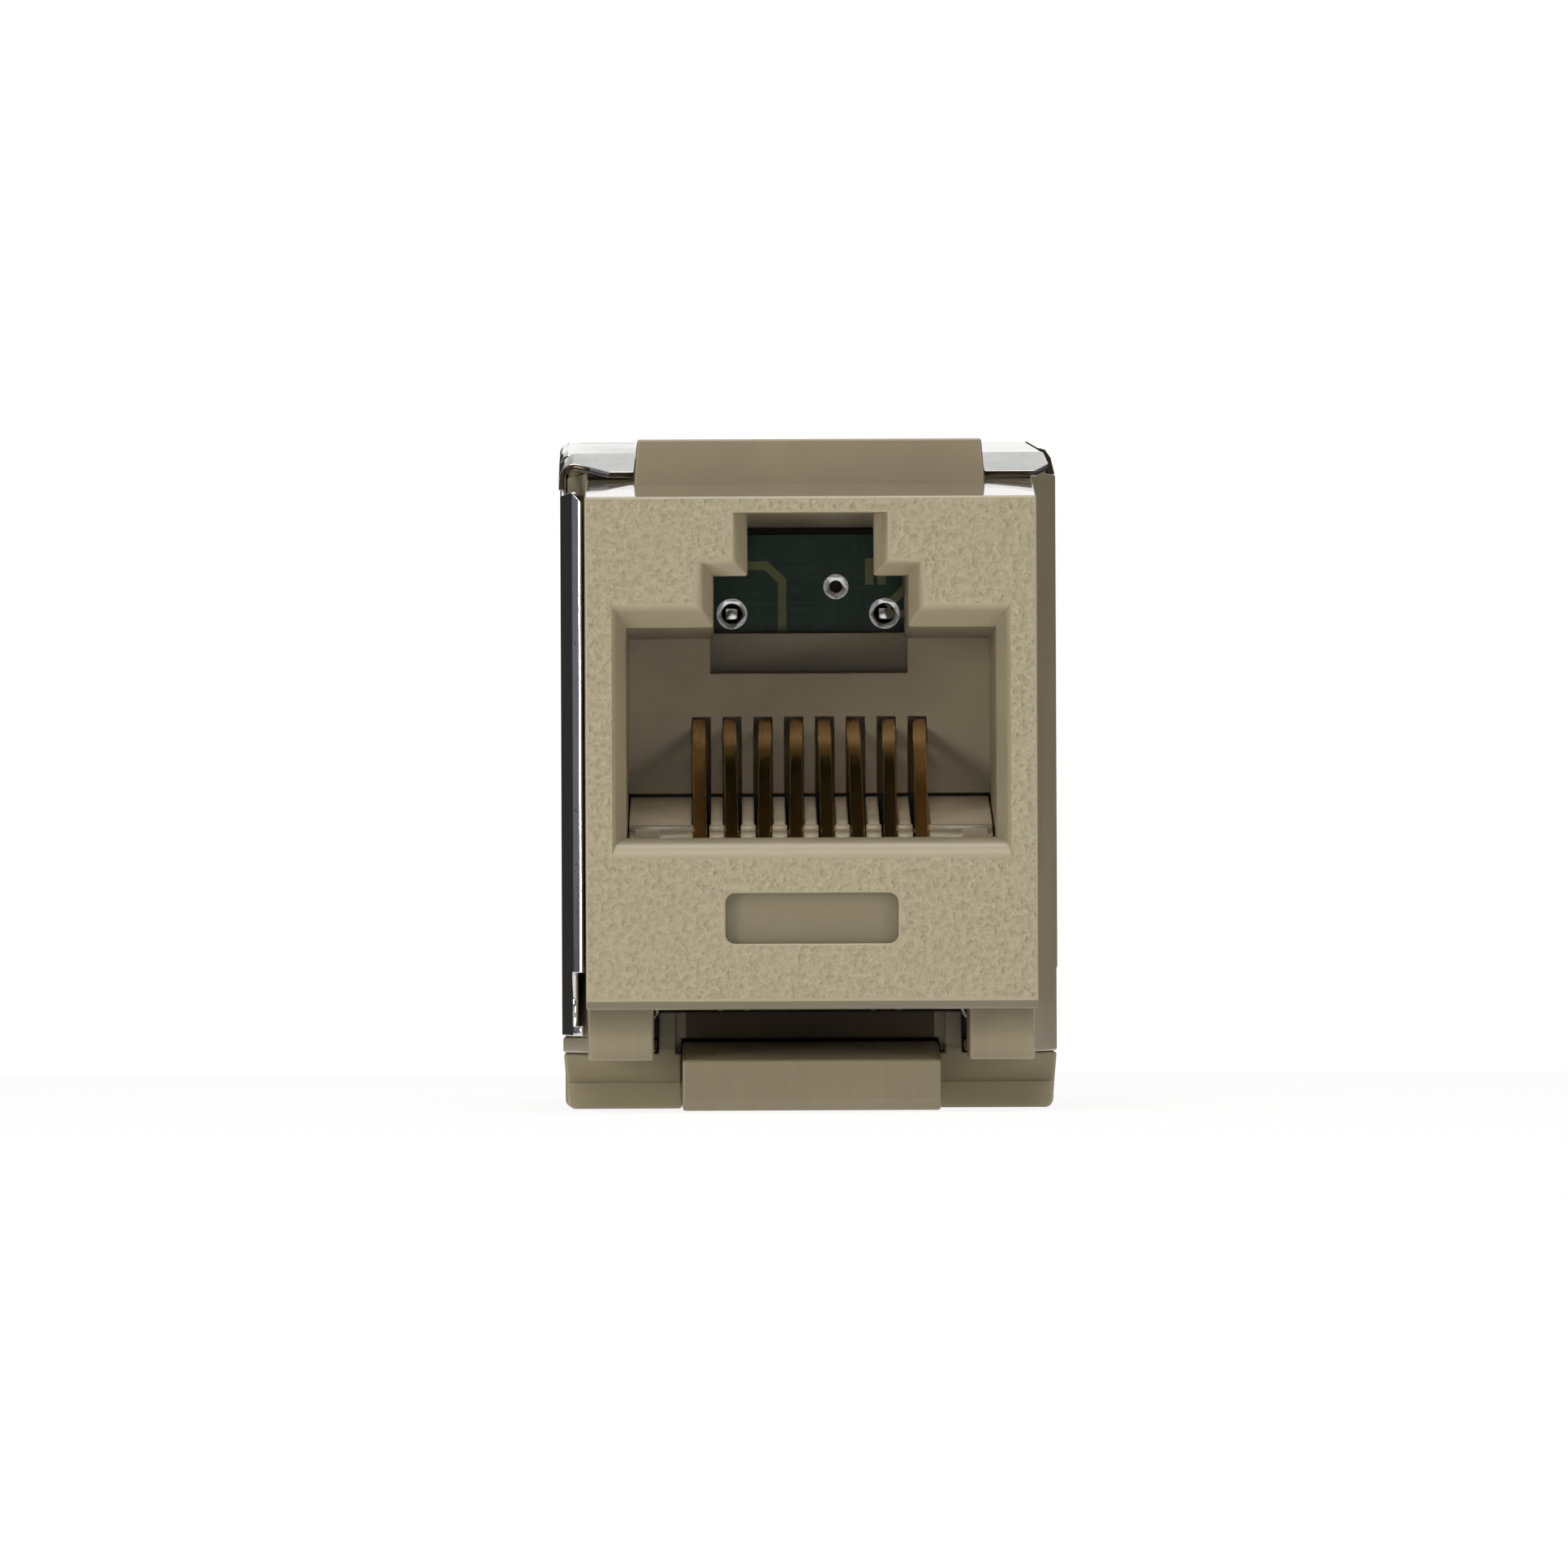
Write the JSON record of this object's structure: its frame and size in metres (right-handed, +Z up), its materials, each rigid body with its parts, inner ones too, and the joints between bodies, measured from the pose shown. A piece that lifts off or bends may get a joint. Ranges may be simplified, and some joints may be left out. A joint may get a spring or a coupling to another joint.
{
  "type": "keystone jack",
  "caption": "Keystone jack with a modular plug port, gilt spring contacts, fixed top lug, flexible latch tongue, circuit board, wire blades, pressed-on wire cap and folded metal shield.",
  "frame": {"origin": "centre of the front face, which is the centre of the panel opening in the plane of that face", "axes": "+X to the right seen from the front, +Y from the front face into the jack, +Z up towards the fixed lug"},
  "size_m": [0.0163, 0.031, 0.022],
  "materials": {
    "almond_plastic": "moulded almond plastic, spark textured on the front face",
    "insert_plastic": "smooth moulded greyish beige plastic",
    "gilt_contact": "polished thin gold over spring bronze",
    "board_green": "green solder mask over glass fibre board",
    "tin_plating": "bright tin",
    "nickel_sheet": "rolled nickel plated sheet"
  },
  "bodies": {
    "root": {"front_housing": "almond_plastic", "contact_sled": "insert_plastic", "contact_comb": "insert_plastic", "plug_contact_1": "gilt_contact", "plug_contact_2": "gilt_contact", "plug_contact_3": "gilt_contact", "plug_contact_4": "gilt_contact", "plug_contact_5": "gilt_contact", "plug_contact_6": "gilt_contact", "plug_contact_7": "gilt_contact", "plug_contact_8": "gilt_contact", "circuit_board": "board_green", "hole_barrels": "tin_plating", "idc_contact_1": "tin_plating", "idc_contact_2": "tin_plating", "idc_contact_3": "tin_plating", "idc_contact_4": "tin_plating", "idc_contact_5": "tin_plating", "idc_contact_6": "tin_plating", "idc_contact_7": "tin_plating", "idc_contact_8": "tin_plating", "rear_housing": "almond_plastic", "wire_cap": "almond_plastic", "shield_wrap": "nickel_sheet"}
  },
  "joints": []
}
